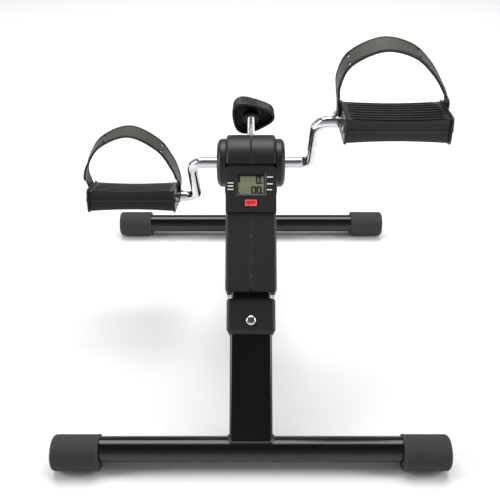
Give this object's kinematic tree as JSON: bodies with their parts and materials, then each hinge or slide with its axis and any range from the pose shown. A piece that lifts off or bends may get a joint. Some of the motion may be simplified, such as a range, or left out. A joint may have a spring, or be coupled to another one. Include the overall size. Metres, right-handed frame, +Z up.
{
  "type": "pedal exerciser",
  "caption": "Folding floor pedal exerciser: black steel stand with two floor bars, crank head with small display, tension knob, chrome cranks and strapped pedals.",
  "frame": {"origin": "on the floor, midway between the two floor bars and on the centre plane", "axes": "+X to the right of the user, +Y away from the user, +Z up"},
  "size_m": [0.3943, 0.471, 0.3765],
  "materials": {
    "black_paint": "gloss powder coat",
    "cap_rubber": "matt moulded",
    "zinc_plate": "zinc plated",
    "housing_plastic": "satin moulded",
    "black_plastic": "fine-grained moulded",
    "strap_rubber": "satin moulded",
    "chrome_plate": "bright plated",
    "steel": "bare steel",
    "nylon": "natural nylon",
    "clear_window": "clear polished",
    "lcd_glass": "grey-green display",
    "board_green": "solder mask",
    "red_plastic": "satin moulded",
    "brass_pad": "machined"
  },
  "bodies": {
    "stand": {"bush_left": "nylon", "bush_right": "nylon", "button_cell": "steel", "collar_screw": "chrome_plate", "display_bezel": "housing_plastic", "display_board": "board_green", "display_window": "clear_window", "front_cap_left": "cap_rubber", "front_cap_right": "cap_rubber", "front_crossbar": "black_paint", "front_leg_tube": "black_paint", "head_frame": "black_paint", "hinge_bracket": "zinc_plate", "housing_left": "housing_plastic", "housing_right": "housing_plastic", "housing_screw_1": "zinc_plate", "housing_screw_2": "zinc_plate", "housing_screw_3": "zinc_plate", "lcd_panel": "lcd_glass", "leg_collar": "housing_plastic", "lock_barrel": "zinc_plate", "pivot_bolt": "zinc_plate", "pivot_nut": "zinc_plate", "reed_switch": "lcd_glass", "side_cover_left": "black_plastic", "side_cover_right": "black_plastic"},
    "rear_leg": {"rear_leg_tube": "black_paint", "rear_crossbar": "black_paint", "rear_cap_left": "cap_rubber", "rear_cap_right": "cap_rubber"},
    "crank_set": {"crank_axle": "steel", "crank_arm_left": "chrome_plate", "crank_arm_right": "chrome_plate", "crank_coupler_left": "steel", "crank_coupler_right": "steel", "sensor_magnet": "steel", "spindle_left": "steel", "spindle_right": "steel"},
    "left_pedal": {"pedal_body_left": "black_plastic", "pedal_inner_plate_left": "black_plastic", "pedal_outer_plate_left": "black_plastic", "strap_left": "strap_rubber", "front_screw_inner_left": "steel", "front_screw_outer_left": "steel", "strap_screw_inner_left": "steel", "strap_screw_outer_left": "steel"},
    "right_pedal": {"pedal_body_right": "black_plastic", "pedal_inner_plate_right": "black_plastic", "pedal_outer_plate_right": "black_plastic", "strap_right": "strap_rubber", "front_screw_inner_right": "steel", "front_screw_outer_right": "steel", "strap_screw_inner_right": "steel", "strap_screw_outer_right": "steel"},
    "brake": {"brake_shoe": "brass_pad"},
    "tension_screw": {"tension_rod": "chrome_plate", "tension_knob": "black_plastic"},
    "reset_key": {"reset_button": "red_plastic"},
    "lock_plunger": {"lock_pin": "black_paint"}
  },
  "joints": [
    {"name": "rear_leg_fold", "type": "hinge", "parent": "stand", "child": "rear_leg", "pos_m": [0, -0.07035, 0.10953], "axis": [-1, 0, 0], "range_deg": [0, 112]},
    {"name": "crank_spin", "type": "hinge", "parent": "stand", "child": "crank_set", "pos_m": [0, 0, 0.228], "axis": [1, 0, 0], "continuous": true},
    {"name": "left_pedal_spin", "type": "hinge", "parent": "crank_set", "child": "left_pedal", "pos_m": [-0.1395, 0.04645, 0.16042], "axis": [1, 0, 0], "continuous": true},
    {"name": "right_pedal_spin", "type": "hinge", "parent": "crank_set", "child": "right_pedal", "pos_m": [0.1395, -0.04645, 0.29558], "axis": [1, 0, 0], "continuous": true},
    {"name": "brake_press", "type": "slide", "parent": "stand", "child": "brake", "axis": [0, 0.9063, 0.4226], "range_m": [-0.00031, 0.0025]},
    {"name": "tension_turn", "type": "hinge", "parent": "brake", "child": "tension_screw", "pos_m": [0, 0.0571, 0.25462], "axis": [0, 0.9063, 0.4226], "range_deg": [-90, 720]},
    {"name": "reset_press", "type": "slide", "parent": "stand", "child": "reset_key", "axis": [0, 0.6966, -0.7175], "range_m": [0, 0.001], "stiffness_N_per_m": 300, "springref_m": -0.0003},
    {"name": "lock_pull", "type": "slide", "parent": "stand", "child": "lock_plunger", "axis": [0, 0.3016, 0.9534], "range_m": [0, 0.008], "stiffness_N_per_m": 400, "springref_m": -0.002}
  ],
  "couplings": [
    {"joint": "tension_turn", "follows": "brake_press", "rad_per_m": 5026.5}
  ]
}
